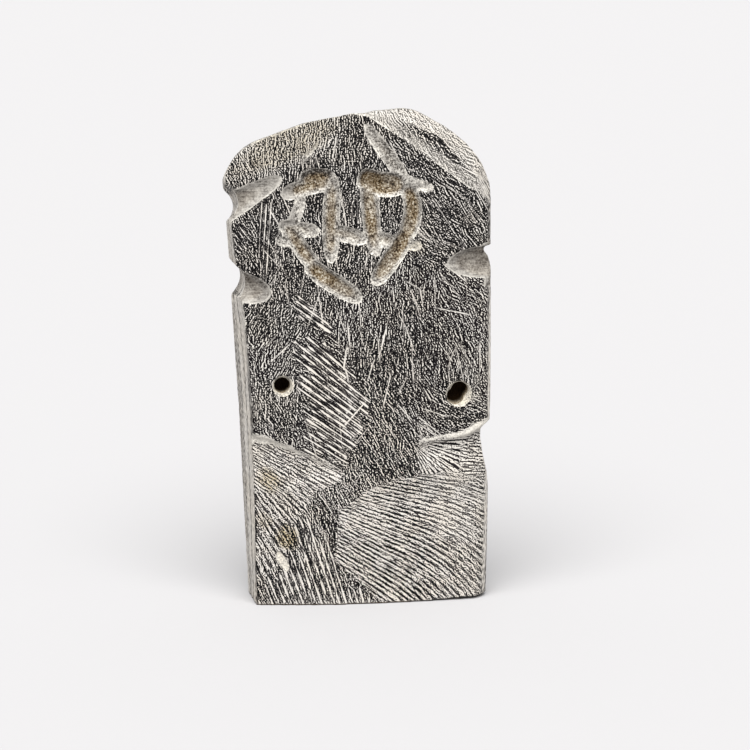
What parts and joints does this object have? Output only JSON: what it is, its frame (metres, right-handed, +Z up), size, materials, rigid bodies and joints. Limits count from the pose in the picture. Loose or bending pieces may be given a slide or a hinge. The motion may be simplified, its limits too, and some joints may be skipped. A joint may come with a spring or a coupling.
{
  "type": "inuit stone figure",
  "caption": "Small flat standing figure filed from one dark stone, with an abstract gouged face, notched edges, blind drilled holes and pale cut-backs at the lower front",
  "frame": {"origin": "middle of the bounding box at the height of the flat underside", "axes": "+Z up through the top of the head, -Y towards the viewer of the carved front, +X towards the right edge as seen from the front"},
  "size_m": [0.0654, 0.02, 0.1221],
  "materials": {
    "stone": "matte, dark worn skin with pale fresh cuts"
  },
  "bodies": {
    "root": {"stone_figure": "stone"}
  },
  "joints": []
}
